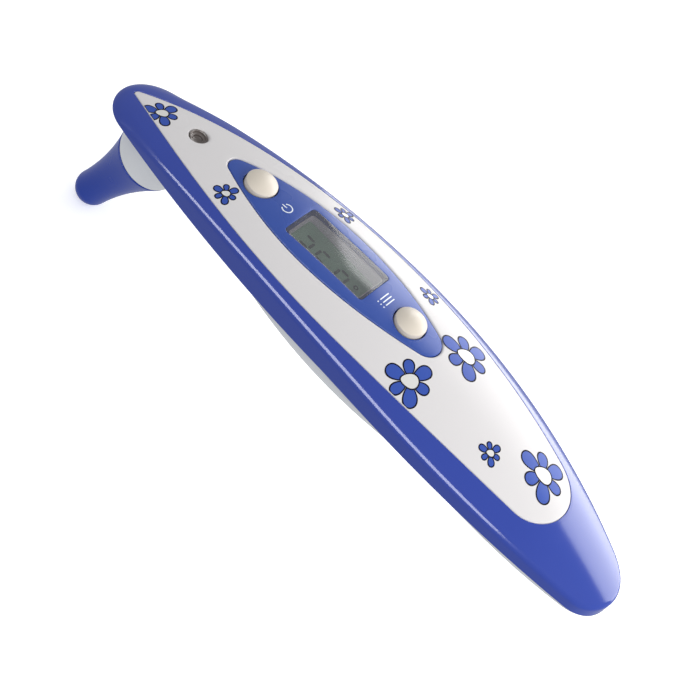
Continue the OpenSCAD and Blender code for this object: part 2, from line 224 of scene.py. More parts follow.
class Disc:
    """Circle."""

    def __init__(self, x, y, r):
        self.c, self.r = (x, y), r

    def sd(self, x, y):
        dx, dy = x - self.c[0], y - self.c[1]
        length = math.hypot(dx, dy) or 1e-9
        return length - self.r, dx / length, dy / length

    def points(self, step, tip_step):
        n = max(40, int(2 * math.pi * self.r / tip_step))
        return [(self.c[0] + self.r * math.cos(2 * math.pi * i / n),
                 self.c[1] + self.r * math.sin(2 * math.pi * i / n)) for i in range(n)]


class Rect:
    """Rectangle with rounded corners."""

    def __init__(self, cx, cy, hx, hy, c):
        self.c, self.h, self.r = (cx, cy), (hx, hy), c

    def sd(self, x, y):
        sx, sy = (1 if x >= self.c[0] else -1), (1 if y >= self.c[1] else -1)
        px = abs(x - self.c[0]) - self.h[0] + self.r
        py = abs(y - self.c[1]) - self.h[1] + self.r
        if px > 0 and py > 0:
            length = math.hypot(px, py)
            return length - self.r, sx * px / length, sy * py / length
        if px > py:
            return px - self.r, sx, 0.0
        return py - self.r, 0.0, sy

    def points(self, step, tip_step):
        corners = ((1, 1), (-1, 1), (-1, -1), (1, -1))

        def on_corner(k, quarter_turns):
            sx, sy = corners[k % 4]
            angle = math.pi / 2 * quarter_turns
            return (self.c[0] + sx * (self.h[0] - self.r) + self.r * math.cos(angle),
                    self.c[1] + sy * (self.h[1] - self.r) + self.r * math.sin(angle))

        out = []
        for k in range(4):
            out += [on_corner(k, k + i / 8) for i in range(9)]
            (x0, y0), (x1, y1) = out[-1], on_corner(k + 1, k + 1)
            n = int(math.hypot(x1 - x0, y1 - y0) / step)
            out += [(x0 + (x1 - x0) * i / n, y0 + (y1 - y0) * i / n) for i in range(1, n)]
        return out


class Shifted:
    """A shape grown outwards by d."""

    def __init__(self, shape, d):
        self.shape, self.d = shape, d

    def sd(self, x, y):
        s, nx, ny = self.shape.sd(x, y)
        return s - self.d, nx, ny


# ---------------------------------------------------------------- mesh tools
HOLE_STEP, TIP_STEP = 0.8, 0.3        # spacing of points along straight and along tight edges


def new_object(name, verts, faces, body):
    """A smooth-shaded object riding on a body, from millimetres with heights from the top of the crown."""
    mesh = bpy.data.meshes.new(name)
    mesh.from_pydata([(x * MM, y * MM, (z + TOP) * MM) for x, y, z in verts], [], faces)
    mesh.validate()
    mesh.update()
    obj = bpy.data.objects.new(name, mesh)
    bpy.context.scene.collection.objects.link(obj)
    bm = bmesh.new()
    bm.from_mesh(mesh)
    bmesh.ops.recalc_face_normals(bm, faces=bm.faces)
    bm.to_mesh(mesh)
    bm.free()
    mesh.polygons.foreach_set("use_smooth", [True] * len(mesh.polygons))
    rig.ride(obj, body)
    return obj


def sharpen(obj, degrees):
    """Marks the edges that are really sharp, so that the rest shades smoothly."""
    limit = math.radians(degrees)
    bm = bmesh.new()
    bm.from_mesh(obj.data)
    for e in bm.edges:
        if len(e.link_faces) == 2:
            e.smooth = e.calc_face_angle(0) < limit
    bm.to_mesh(obj.data)
    bm.free()


def fill(outer, holes, loops, spacing, margin):
    """Triangles inside outer and outside holes; loops are lists of points already placed on their edges."""
    pts, edges = [], []
    for loop in loops:
        start = len(pts)
        pts += loop
        edges += [(start + i, start + (i + 1) % len(loop)) for i in range(len(loop))]
    lo_x, hi_x = min(p[0] for p in loops[0]), max(p[0] for p in loops[0])
    lo_y, hi_y = min(p[1] for p in loops[0]), max(p[1] for p in loops[0])
    row, y = 0, lo_y + spacing / 2
    while y < hi_y:
        x = lo_x + (spacing / 2 if row % 2 else 0)
        while x < hi_x:
            if outer.sd(x, y)[0] < -margin and all(h.sd(x, y)[0] > margin for h in holes):
                pts.append((x, y))
            x += spacing
        y += spacing * 0.866
        row += 1
    vs, _, fs, *_ = delaunay_2d_cdt([Vector(p) for p in pts], edges, [], 0, 1e-6)
    keep = []
    for f in fs:
        cx = sum(vs[i].x for i in f) / 3
        cy = sum(vs[i].y for i in f) / 3
        if outer.sd(cx, cy)[0] < 0 and all(h.sd(cx, cy)[0] > 0 for h in holes):
            keep.append(tuple(f))
    return [(v.x, v.y) for v in vs], keep


def layer(name, outer, holes, top, bottom, edge, spacing=1.1, step=0.8, hole_edge=None):
    """A layer of the crown between two heights, with rounded upper rims."""
    shapes = [outer] + holes
    rims = [edge] + [edge if hole_edge is None else hole_edge] * len(holes)
    loops = []
    for k, s in enumerate(shapes):
        sign = 1 if k == 0 else -1
        pts = s.points(step if k == 0 else HOLE_STEP, TIP_STEP)
        loops.append([(x, y, sign * n[1], sign * n[2]) for x, y in pts for n in [s.sd(x, y)]])
    inset = [[(x - nx * e, y - ny * e) for x, y, nx, ny in lp] for lp, e in zip(loops, rims)]
    outer_in, holes_in = Shifted(outer, -rims[0]), [Shifted(h, r) for h, r in zip(holes, rims[1:])]
    flat, tris = fill(outer_in, holes_in, inset, spacing, spacing * 0.55)
    n_loop = sum(len(lp) for lp in loops)
    verts = [(x, y, crown(x, y, top)) for x, y in flat]
    faces = list(tris)
    base = len(verts)
    # underside
    under = []
    for lp in loops:
        under += [(x, y) for x, y, _, _ in lp]
    under += flat[n_loop:]
    verts += [(x, y, crown(x, y, bottom)) for x, y in under]
    faces += [tuple(base + i for i in reversed(t)) for t in tris]
    # rounded rim and side wall of every loop
    start, steps = 0, 5
    for lp, e in zip(loops, rims):
        n = len(lp)
        rings = [list(range(start, start + n))]
        for k in range(1, steps + 1):
            a = math.pi / 2 * k / steps
            ring = []
            for x, y, nx, ny in lp:
                px, py = x - nx * e * (1 - math.sin(a)), y - ny * e * (1 - math.sin(a))
                ring.append(len(verts))
                verts.append((px, py, crown(px, py, top) - e * (1 - math.cos(a))))
            rings.append(ring)
        rings.append([base + start + i for i in range(n)])
        for r0, r1 in zip(rings[:-1], rings[1:]):
            for i in range(n):
                j = (i + 1) % n
                faces.append((r0[i], r0[j], r1[j], r1[i]))
        start += n
    obj = new_object(name, verts, faces, "body")
    sharpen(obj, 45)
    return obj


def rings_mesh(rings):
    """Vertices and quads of a tube of equal closed rings."""
    n = len(rings[0])
    verts = [p for r in rings for p in r]
    faces = []
    count = len(rings)
    for k in range(count - 1):
        for i in range(n):
            j = (i + 1) % n
            faces.append((k * n + i, k * n + j, (k + 1) * n + j, (k + 1) * n + i))
    return verts, faces


def revolve(profile, place, n):
    """Vertices and faces of a closed profile of (radius, height) turned about the local axis."""
    turn = [2 * math.pi * i / n for i in range(n)]
    rings = [[place(r * math.cos(a), r * math.sin(a), s) for a in turn] for r, s in profile]
    verts, faces = rings_mesh(rings + rings[:1])
    m = len(rings) * n
    return verts[:m], [tuple(v % m for v in f) for f in faces]


def turned(name, y0, profile, n, body):
    """An object turned about an upright axis at y0, from a profile that starts and ends on the axis."""
    turn = [2 * math.pi * i / n for i in range(n)]
    verts = [(0, y0, profile[0][1])]
    for r, z in profile[1:-1]:
        verts += [(r * math.cos(a), y0 + r * math.sin(a), z) for a in turn]
    verts.append((0, y0, profile[-1][1]))
    rows, last = len(profile) - 2, len(verts) - 1
    faces = [(0, 1 + i, 1 + (i + 1) % n) for i in range(n)]
    for k in range(rows - 1):
        upper, lower = 1 + k * n, 1 + (k + 1) * n
        for i in range(n):
            j = (i + 1) % n
            faces.append((upper + i, lower + i, lower + j, upper + j))
    base = 1 + (rows - 1) * n
    faces += [(last, base + (i + 1) % n, base + i) for i in range(n)]
    return new_object(name, verts, faces, body)


def probe_place(u, v, s):
    """A point of the probe's frame, where s runs from the seam to the tip."""
    c, k = math.cos(LEAN), math.sin(LEAN)
    return (u, SEAM_Y - v * c + s * k, -SEAM_Z - v * k - s * c)


# ---------------------------------------------------------------- front bezel
KEY_HOLES = [Disc(0, y, BUTTON_R + BUTTON_GAP) for y in (ON_Y, MEM_Y)]


def build_bezel():
    """Crowned shell with the plate's pocket, a rounded crease, a side wall and the openings of the front."""
    outline = body_leaf()
    plate = plate_leaf(-GAP)
    pts = outline.points(step=0.8, tip_step=0.4)
    n = len(pts)
    rings = []
    edge, low, bulge = 0.14, 0.28, 0.62   # pocket rim radius, lower edge radius, fullness of the crease
    crease, nose_in, nose_down = 0.95, 2.2, 1.2
    nose_y, nose_l = 52, 21

    def nose(y):
        """From 0 on the body to 1 at the head end, where the crease is rounder."""
        t = min(max((y - nose_y) / nose_l, 0), 1)
        return t * t * (3 - 2 * t)

    # outline point and its normal, nearest point of the pocket's edge and its normal, size of the crease
    data = []
    for x, y in pts:
        _, nx, ny = outline.sd(x, y)
        dist, gx, gy = plate.sd(x, y)
        bx, by = x - gx * dist, y - gy * dist
        wall = crown(x, y) - parting(y)
        k = nose(y)
        a = min(crease + nose_in * k, dist - edge - 0.25)
        b = min(crease + nose_down * k, wall - 0.3)
        data.append((x, y, nx, ny, bx, by, gx, gy, a, b))
    # pocket wall and its rounded rim
    rings.append([(bx, by, crown(bx, by, -POCKET)) for _, _, _, _, bx, by, *_ in data])
    rings.append([(bx, by, crown(bx, by) - edge) for _, _, _, _, bx, by, *_ in data])
    for k in range(1, 5):
        t = math.pi / 2 * k / 4
        away = edge * (1 - math.cos(t))
        ring = []
        for _, _, _, _, bx, by, gx, gy, *_ in data:
            px, py = bx + gx * away, by + gy * away
            ring.append((px, py, crown(px, py) - edge * (1 - math.sin(t))))
        rings.append(ring)
    # face
    m = 16
    for k in range(1, m):
        t = k / m
        ring = []
        for x, y, nx, ny, bx, by, gx, gy, a, b in data:
            px, py = bx + gx * edge, by + gy * edge
            qx, qy = x - nx * a, y - ny * a
            fx, fy = px + (qx - px) * t, py + (qy - py) * t
            ring.append((fx, fy, crown(fx, fy)))
        rings.append(ring)
    # crease
    m = 10
    for k in range(m + 1):
        t = k / m
        ring = []
        for x, y, nx, ny, bx, by, gx, gy, a, b in data:
            z0 = crown(x - nx * a, y - ny * a)
            zc = crown(x, y)
            u = [a, a * (1 - bulge), 0.0, 0.0]
            z = [z0, z0 + (zc - z0) * bulge, zc - b * (1 - bulge), zc - b]
            w = [(1 - t) ** 3, 3 * t * (1 - t) ** 2, 3 * t * t * (1 - t), t ** 3]
            uu = sum(p * q for p, q in zip(u, w))
            zz = sum(p * q for p, q in zip(z, w))
            ring.append((x - nx * uu, y - ny * uu, zz))
        rings.append(ring)
    # side wall with a rounded lower edge
    for t in (0.1, 0.3, 0.5, 0.7, 0.9, 1.0):
        rings.append([(x, y, (crown(x, y) - b) * (1 - t) + (parting(y) + low) * t) for x, y, *_, b in data])
    for k in range(1, 5):
        t = math.pi / 2 * k / 4
        inset = low * (1 - math.cos(t))
        rings.append([(x - nx * inset, y - ny * inset, parting(y) + low * (1 - math.sin(t)))
                      for x, y, nx, ny, *_ in data])
    # inside of the wall, level with the parting line below and under the crown above
    inner = [(x - nx * WALL, y - ny * WALL, parting(y)) for x, y, nx, ny, *_ in data]
    rings.append(inner)
    rings.append([(x, y, crown(x, y, -WALL)) for x, y, _ in inner])
    verts, faces = rings_mesh(rings)
    # floor under the plate and ceiling of the shell, joined through the openings
    holes = [Rect(0, WINDOW_Y, WINDOW_W / 2 - 0.7, WINDOW_L / 2 - 0.7, 0.9),
             *KEY_HOLES, Disc(0, IND_Y, IND_R)]
    hole_loops = [h.points(step=0.8, tip_step=0.35) for h in holes]
    for ring_index, shape, d in ((0, plate, -POCKET), (len(rings) - 1, body_leaf(WALL), -WALL)):
        loop = [(p[0], p[1]) for p in rings[ring_index]]
        flat, tris = fill(shape, holes, [loop] + hole_loops, spacing=1.6, margin=0.9)
        base = len(verts)
        verts += [(x, y, crown(x, y, d)) for x, y in flat]
        link = {base + i: ring_index * n + i for i in range(n)}
        for t in tris:
            faces.append(tuple(link.get(base + i, base + i) for i in t))
        if ring_index == 0:
            first = base
        else:
            start = n
            for lp in hole_loops:
                up, down = first + start, base + start
                for i in range(len(lp)):
                    j = (i + 1) % len(lp)
                    faces.append((up + i, up + j, down + j, down + i))
                start += len(lp)
    used = sorted({i for f in faces for i in f})
    remap = {v: i for i, v in enumerate(used)}
    faces = [tuple(remap[i] for i in f) for f in faces]
    obj = new_object("bezel_shell", [verts[i] for i in used], faces, "body")
    sharpen(obj, 50)
    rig.replaces(obj, "front_bezel")
    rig.slot(obj, "blue_gloss")
    return obj


bezel = build_bezel()

# ---------------------------------------------------------------- plate, panel, window
panel_hole = panel_leaf(-GAP)
plate = layer("plate_shell", plate_leaf(), [panel_hole, Disc(0, IND_Y, IND_R)], top=0.0, bottom=-PLATE_T,
              edge=0.2, hole_edge=LIP)
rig.replaces(plate, "decor_plate")
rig.slot(plate, "white_satin")
# the rounded lip round the panel is polished by the mould; its white is also a shade lighter than the plate's, a
# painted highlight along the lip
for poly in plate.data.polygons:
    away = panel_hole.sd(poly.center.x / MM, poly.center.y / MM)[0]
    poly.material_index = 1 if away < LIP and poly.normal.z > 0.05 else 0

window_hole = Rect(0, WINDOW_Y, WINDOW_W / 2 + 0.05, WINDOW_L / 2 + 0.05, 0.95)
panel = layer("panel_shell", panel_leaf(0.08), [window_hole, *KEY_HOLES], top=-PANEL_SINK, bottom=-PLATE_T,
              edge=0.2, spacing=0.8, hole_edge=0.12, step=0.5)
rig.replaces(panel, "control_panel")
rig.slot(panel, "blue_satin")

window = layer("window_pane", Rect(0, WINDOW_Y, WINDOW_W / 2, WINDOW_L / 2, 0.9), [], top=-PANEL_SINK,
               bottom=-PLATE_T, edge=0.06, spacing=0.8)
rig.replaces(window, "lcd_window")
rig.slot(window, "window")
# the window's sides and the edge of its back outside the clear middle take the well's lilac, a painted reflection of
# the light on the glass
CLEAR_X, CLEAR_Y = 4.35, 10.0
for poly in window.data.polygons:
    c = poly.center / MM
    on_back = c.z < crown(c.x, c.y, -PLATE_T) + TOP + 0.1
    masked = abs(c.x) > CLEAR_X or abs(c.y - WINDOW_Y) > CLEAR_Y
    poly.material_index = 1 if abs(poly.normal.z) < 0.3 or (on_back and masked) else 0


# ---------------------------------------------------------------- display well and figures
def build_well():
    """Thin frame that lines the space between the window and the display."""
    outer = Rect(0, WINDOW_Y, 4.52, 10.17, 0.8).points(HOLE_STEP, TIP_STEP)
    inner = Rect(0, WINDOW_Y, 4.3, 9.95, 0.6).points(HOLE_STEP, TIP_STEP)
    n = min(len(outer), len(inner))
    bottom, below_window = LCD_Z + 0.03, -PLATE_T - 0.04

    def low(loop):
        return [(x, y, bottom) for x, y in loop[:n]]

    def high(loop):
        return [(x, y, crown(x, y, below_window)) for x, y in loop[:n]]

    rings = [low(inner), high(inner), high(outer), low(outer)]
    m = len(rings) * n
    verts, faces = rings_mesh(rings + rings[:1])
    obj = new_object("display_well", verts[:m], [tuple(v % m for v in f) for f in faces], "body")
    sharpen(obj, 40)
    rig.slot(obj, "frame_white")
    return obj


well = build_well()


def ribbon(points, width, closed=False):
    """Outline band of a polyline in the plane, with mitred joints, as vertices and quads."""
    n = len(points)
    verts, faces = [], []
    for i, (x, y) in enumerate(points):
        dirs = []
        if i > 0 or closed:
            p = points[i - 1]
            dirs.append(((x - p[0]), (y - p[1])))
        if i < n - 1 or closed:
            p = points[(i + 1) % n]
            dirs.append(((p[0] - x), (p[1] - y)))
        units = [(a / math.hypot(a, b), b / math.hypot(a, b)) for a, b in dirs]
        tx, ty = sum(u[0] for u in units), sum(u[1] for u in units)
        length = math.hypot(tx, ty)
        tx, ty = tx / length, ty / length
        cos_half = units[0][0] * tx + units[0][1] * ty
        w = width / 2 / max(cos_half, 0.35)
        verts += [(x - ty * w, y + tx * w), (x + ty * w, y - tx * w)]
    for i in range(n if closed else n - 1):
        j = (i + 1) % n
        faces.append((2 * i, 2 * j, 2 * j + 1, 2 * i + 1))
    return verts, faces


def merge_flat(parts):
    """Joins lists of vertices and faces into one pair."""
    verts, faces = [], []
    for v, f in parts:
        base = len(verts)
        verts += v
        faces += [tuple(base + i for i in t) for t in f]
    return verts, faces


def split(points, step):
    """Adds points so that a band follows the curved surface."""
    out = []
    for a, b in zip(points[:-1], points[1:]):
        n = max(1, int(math.hypot(b[0] - a[0], b[1] - a[1]) / step))
        out += [(a[0] + (b[0] - a[0]) * i / n, a[1] + (b[1] - a[1]) * i / n) for i in range(n)]
    return out + [points[-1]]


def print_on(name, flat, height, slot):
    """A printed mark: flat polygons laid at a height."""
    verts, faces = flat
    obj = new_object(name, [(x, y, height(x, y)) for x, y in verts], faces, "body")
    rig.slot(obj, slot)
    return obj


SEGMENTS = {
    "a": ((0, 2), (1, 2)), "b": ((1, 1), (1, 2)), "c": ((1, 0), (1, 1)), "d": ((0, 0), (1, 0)),
    "e": ((0, 0), (0, 1)), "f": ((0, 1), (0, 2)), "g": ((0, 1), (1, 1)),
}
DIGITS = {"3": "abcdg", "6": "acdefg", "8": "abcdefg"}
READING = "368"
PRINT_UP = 0.02                       # height of print above its surface


def dots(cx, cy, r, n):
    """Points round a circle."""
    turn = [2 * math.pi * i / n for i in range(n)]
    return [(cx + r * math.cos(a), cy + r * math.sin(a)) for a in turn]


def segment(a, b, half, gap):
    """Six-sided bar with pointed ends between two points, kept apart from its neighbours by a gap."""
    length = math.hypot(b[0] - a[0], b[1] - a[1])
    ux, uy = (b[0] - a[0]) / length, (b[1] - a[1]) / length
    sides = []
    for (x, y), s in (((a[0] + ux * gap, a[1] + uy * gap), 1), ((b[0] - ux * gap, b[1] - uy * gap), -1)):
        mx, my = x + s * ux * half, y + s * uy * half
        sides.append(((x, y), (mx - uy * half, my + ux * half), (mx + uy * half, my - ux * half)))
    (p, p_left, p_right), (q, q_left, q_right) = sides
    return [p, p_right, q_right, q, q_left, p_left], [tuple(range(6))]


def build_figures():
    """Three seven-segment figures that read across the display, with a point and a degree mark."""
    wide, tall, pitch, after_point = 2.7, 2.7, 4.7, 0.9

    def turn(x, y):
        """Figures stand with their heads towards +X and read towards -Y."""
        return (y - 4.6, WINDOW_Y + 8.0 - x)

    parts = []
    for k, digit in enumerate(READING):
        left = k * pitch + (after_point if k == 2 else 0)
        for key in DIGITS[digit]:
            a, b = [(left + x * wide, y * tall) for x, y in SEGMENTS[key]]
            parts.append(segment(a, b, half=0.33, gap=0.22))
    parts.append((dots(2 * pitch - 0.55, 0.1, 0.3, 16), [tuple(range(16))]))
    parts.append(ribbon(dots(3 * pitch + 1.3, 4.7, 0.45, 24), 0.3, True))
    verts, faces = merge_flat(parts)
    flat = [turn(x, y) for x, y in verts], faces
    return print_on("display_figures", flat, lambda x, y: LCD_Z + 0.03, "chip_black")


figures = build_figures()


# ---------------------------------------------------------------- printed key symbols
def build_symbols():
    """A power ring beside the upper button and three list bars beside the lower one."""
    pen, power_y, list_y, left, pitch = 0.27, 29.6, 1.3, -0.5, 0.85
    ring_r, gap = 1.15, math.radians(36)
    sweep = 2 * math.pi - 2 * gap
    angles = [gap + sweep * i / 40 for i in range(41)]
    arc = [(left + ring_r * math.sin(a), power_y + ring_r * math.cos(a)) for a in angles]
    parts = [ribbon(arc, pen), ribbon([(left, power_y + 0.15), (left, power_y + ring_r + 0.25)], pen)]
    for k in (-1, 0, 1):
        y = list_y + pitch * k
        parts.append(ribbon(split([(left - 1.0, y), (left + 2.0, y)], 0.4), pen))
        parts.append(ribbon([(left - 1.9, y), (left - 1.55, y)], pen))
    flat = merge_flat(parts)
    return print_on("key_symbols", flat, lambda x, y: crown(x, y, -PANEL_SINK) + PRINT_UP, "cream")


symbols = build_symbols()

# ---------------------------------------------------------------- printed flowers
# angle, reach and half width of each petal, where the last two are shares of the flower's size
PETALS = [(105 + 60 * k, 0.94, 0.30) if k % 2 == 0 else (105 + 60 * k, 0.78, 0.25) for k in range(6)]
# place, size and turn of each flower
FLOWERS = [(-1.0, 64.1, 4.4, 8), (-7.9, 40.2, 3.1, -6), (11.4, 21.7, 3.0, 4), (11.5, -3.4, 3.0, -4),
           (-9.9, -14.3, 6.0, 3), (5.9, -18.0, 6.8, 0), (-6.2, -35.8, 3.1, 6), (1.7, -46.4, 6.9, -5)]
PRINT_SLOTS = {"ink": "chip_black", "ring": "chip_black", "petals": "blue_satin", "core": "white_satin"}
PRINT_PAINTS = {"ink": "ink", "ring": "ink", "petals": "petals", "core": "core"}


def blob(cx, cy, angle, near, far, half, n=44):
    """Petal outline: an egg from near to far along the angle."""
    out = []
    c, s = math.cos(angle), math.sin(angle)
    mid, reach = (near + far) / 2, (far - near) / 2
    for i in range(n):
        a = 2 * math.pi * i / n
        u = mid + reach * math.cos(a)
        v = half * math.sin(a) * (1 + 0.28 * math.cos(a))
        out.append((cx + u * c - v * s, cy + u * s + v * c))
    return out


def on_plate(loop, clear):
    """Keeps a loop inside the plate's rim."""
    rim = plate_leaf()
    out = []
    for x, y in loop:
        d, nx, ny = rim.sd(x, y)
        if d > -clear:
            x, y = x - nx * (d + clear), y - ny * (d + clear)
        if not out or math.hypot(x - out[-1][0], y - out[-1][1]) > 0.02:
            out.append((x, y))
    return out


def patch(loop, spacing):
    """Fills a loop with triangles small enough to follow the crown."""
    pts = [Vector(p) for p in loop]
    n = len(pts)
    lo_x, hi_x = min(p.x for p in pts), max(p.x for p in pts)
    lo_y, hi_y = min(p.y for p in pts), max(p.y for p in pts)

    def inside(x, y):
        odd = False
        for i in range(n):
            a, b = pts[i], pts[i - 1]
            if (a.y > y) != (b.y > y) and x < (b.x - a.x) * (y - a.y) / (b.y - a.y) + a.x:
                odd = not odd
        return odd

    grid = []
    y = lo_y + spacing / 2
    while y < hi_y:
        x = lo_x + spacing / 2
        while x < hi_x:
            if inside(x, y) and min((p.x - x) ** 2 + (p.y - y) ** 2 for p in pts) > (spacing * 0.4) ** 2:
                grid.append(Vector((x, y)))
            x += spacing
        y += spacing
    vs, _, fs, *_ = delaunay_2d_cdt(pts + grid, [(i, (i + 1) % n) for i in range(n)], [], 0, 1e-6)
    keep = [tuple(f) for f in fs if inside(sum(vs[i].x for i in f) / 3, sum(vs[i].y for i in f) / 3)]
    return [(v.x, v.y) for v in vs], keep


def flower_layers(cx, cy, size, turn):
    """Rows of kind, loops, height and clearance to the plate's rim, from the lowest layer up."""
    line = 0.21 + 0.015 * size
    near, petal_w, core_l, core_w = size * 0.14, size * 0.88, size * 0.36, size * 0.29
    clear, core_angle = 0.12, math.radians(-58 + turn)
    ink, blue = [], []
    for angle, far, half in PETALS:
        a = math.radians(angle + turn)
        ink.append(blob(cx, cy, a, near, size * far, petal_w * half))
        blue.append(blob(cx, cy, a, near + line, size * far - line, petal_w * half - line))
    ring = blob(cx, cy, core_angle, -core_l, core_l, core_w)
    core = blob(cx, cy, core_angle, line - core_l, core_l - line, core_w - line)
    inner = clear + line * 0.5
    return (("ink", ink, 0.012, clear), ("petals", blue, 0.024, inner),
            ("ring", [ring], 0.036, clear), ("core", [core], 0.048, inner))


def build_flowers():
    """Each flower is four thin printed layers; petals in a layer lie a hair apart in height."""
    pieces = []
    for k, flower in enumerate(FLOWERS):
        for kind, loops, up, clear in flower_layers(*flower):
            verts, faces = [], []
            for m, loop in enumerate(loops):
                flat, tris = patch(on_plate(loop, clear), spacing=0.7)
                base = len(verts)
                verts += [(x, y, crown(x, y) + up + 0.0016 * m) for x, y in flat]
                faces += [tuple(base + i for i in t) for t in tris]
            obj = new_object(f"flower_{k + 1}_{kind}", verts, faces, "body")
            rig.slot(obj, PRINT_SLOTS[kind])
            pieces.append((kind, obj))
    return pieces


flowers = build_flowers()


# ---------------------------------------------------------------- buttons
def build_button(name, y0, flange, body, node):
    """Domed cap with a retaining flange below the bezel and the stem that works its switch."""
    top = crown(0, y0) + BUTTON_UP
    rise, soft, rb = 1.3, 0.3, BUTTON_R
    dome_r = (rb * rb + rise * rise) / (2 * rise)
    dome_z = top - dome_r
    edge_a = math.asin((rb - soft) / (dome_r - soft))
    edge_x, edge_z = (dome_r - soft) * math.sin(edge_a), dome_z + (dome_r - soft) * math.cos(edge_a)
    profile = [(0.0, top)]
    for k in range(1, 21):
        a = edge_a * k / 20
        profile.append((dome_r * math.sin(a), dome_z + dome_r * math.cos(a)))
    for k in range(1, 9):
        a = edge_a + (math.pi / 2 - edge_a) * k / 8
        profile.append((edge_x + soft * math.sin(a), edge_z + soft * math.cos(a)))
    rim, thick, stem_r, stem_end = rb + 0.8, 0.7, 1.0, -8.95
    profile += [(rb, 0.15 - flange), (rb, -flange), (rim - 0.1, -flange), (rim, -flange - 0.1),
                (rim, -flange - thick), (stem_r + 0.05, -flange - thick), (stem_r, -flange - thick - 0.1),
                (stem_r, stem_end), (0.0, stem_end)]
    obj = turned(name, y0, profile, 96, body)
    sharpen(obj, 40)
    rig.replaces(obj, node)
    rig.slot(obj, "cream")
    return obj


ON_FLANGE, MEM_FLANGE = 5.9, 3.1      # depth of each flange's upper face below the top of the crown
on_cap = build_button("on_cap", ON_Y, ON_FLANGE, "on_key", "on_button")
mem_cap = build_button("mem_cap", MEM_Y, MEM_FLANGE, "mem_key", "mem_button")


# ---------------------------------------------------------------- indicator
def build_indicator():
    """Stepped smoked cup that lines its hole."""
    z = crown(0, IND_Y)
    floor, ledge, rim, foot = z - 1.6, z - 0.9, z - 0.3, z - 2.5
    out_r = IND_R - 0.1
    rows = [(0.0, floor - 0.02), (0.6, floor), (1.0, floor + 0.08), (1.12, floor + 0.18),
            (1.16, ledge - 0.08), (1.24, ledge - 0.02), (1.5, ledge), (1.62, ledge + 0.06),
            (1.68, rim - 0.12), (1.76, rim - 0.03), (out_r - 0.09, rim), (out_r, rim - 0.08),
            (out_r, foot), (0.0, foot)]
    obj = turned("indicator_cup", IND_Y, rows, 72, "body")
    sharpen(obj, 30)
    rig.replaces(obj, "indicator_lens")
    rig.slot(obj, "smoke")
    return obj


indicator = build_indicator()


# ---------------------------------------------------------------- probe
def build_cone():
    """Flared cone with a rounded tip and a bore for the sensor's window."""
    end = CONE_L - TIP_R
    groove, soft, inner, flare, bore = 0.32, 0.22, 5.85, 1.98, 1.5
    start = groove + soft
    profile = [(inner, groove), (RIM_R - soft, groove)]
    for k in range(1, 6):
        a = math.pi / 2 * k / 5
        profile.append((RIM_R - soft + soft * math.sin(a), start - soft * math.cos(a)))
    m = 60
    for k in range(1, m + 1):
        t = k / m
        profile.append((TIP_R + (RIM_R - TIP_R) * (1 - t) ** flare, start + (end - start) * t))
    stop = math.acos(bore / TIP_R)
    for k in range(1, 17):
        a = (stop - 0.04) * k / 16
        profile.append((TIP_R * math.cos(a), end + TIP_R * math.sin(a)))
    z_end = end + TIP_R * math.sin(stop)
    seat, hollow_r, shoulder = CONE_L - 1.25, 2.6, 5.2
    profile += [(bore + 0.03, z_end - 0.02), (bore, z_end - 0.1), (bore, seat), (hollow_r, seat),
                (hollow_r, shoulder), (inner - 0.05, shoulder)]
    verts, faces = revolve(profile, probe_place, 160)
    obj = new_object("cone_shell", verts, faces, "body")
    sharpen(obj, 40)
    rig.replaces(obj, "probe_cone")
    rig.slot(obj, "blue_cone")
    return obj


def build_neck():
    """Collar round the cone's foot, cut off along the parting line."""
    bore, rim, swell, length, soft = 6.42, 7.96, 0.26, 10.2, 0.16
    profile = [(bore, -0.02), (rim - 0.18, -0.02), (rim - 0.06, -0.06), (rim, -soft)]
    for k in range(1, 15):
        t = min(k / 5, 1.0)
        profile.append((rim + swell * math.sin(t * math.pi / 2), -soft - length * k / 14))
    profile += [(bore, -soft - length)]
    verts, faces = revolve(profile, probe_place, 128)
    obj = new_object("neck_collar", verts, faces, "body")
    bm = bmesh.new()
    bm.from_mesh(obj.data)
    y_ref, below = 60.0, 0.2
    place = Vector((0, y_ref, parting(y_ref) - below + TOP)) * MM
    normal = Vector((0, PART_SLOPE, 1)).normalized()
    cut = bmesh.ops.bisect_plane(bm, geom=bm.verts[:] + bm.edges[:] + bm.faces[:], dist=1e-7,
                                 plane_co=place, plane_no=normal, clear_outer=True)
    edges = [e for e in cut["geom_cut"] if isinstance(e, bmesh.types.BMEdge)]
    try:
        bmesh.ops.bridge_loops(bm, edges=edges)
    except RuntimeError:
        bmesh.ops.holes_fill(bm, edges=edges)
    bmesh.ops.recalc_face_normals(bm, faces=bm.faces)
    bm.to_mesh(obj.data)
    bm.free()
    obj.data.polygons.foreach_set("use_smooth", [True] * len(obj.data.polygons))
    sharpen(obj, 40)
    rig.replaces(obj, "probe_neck")
    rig.slot(obj, "white_shell")
    return obj


cone = build_cone()
neck = build_neck()


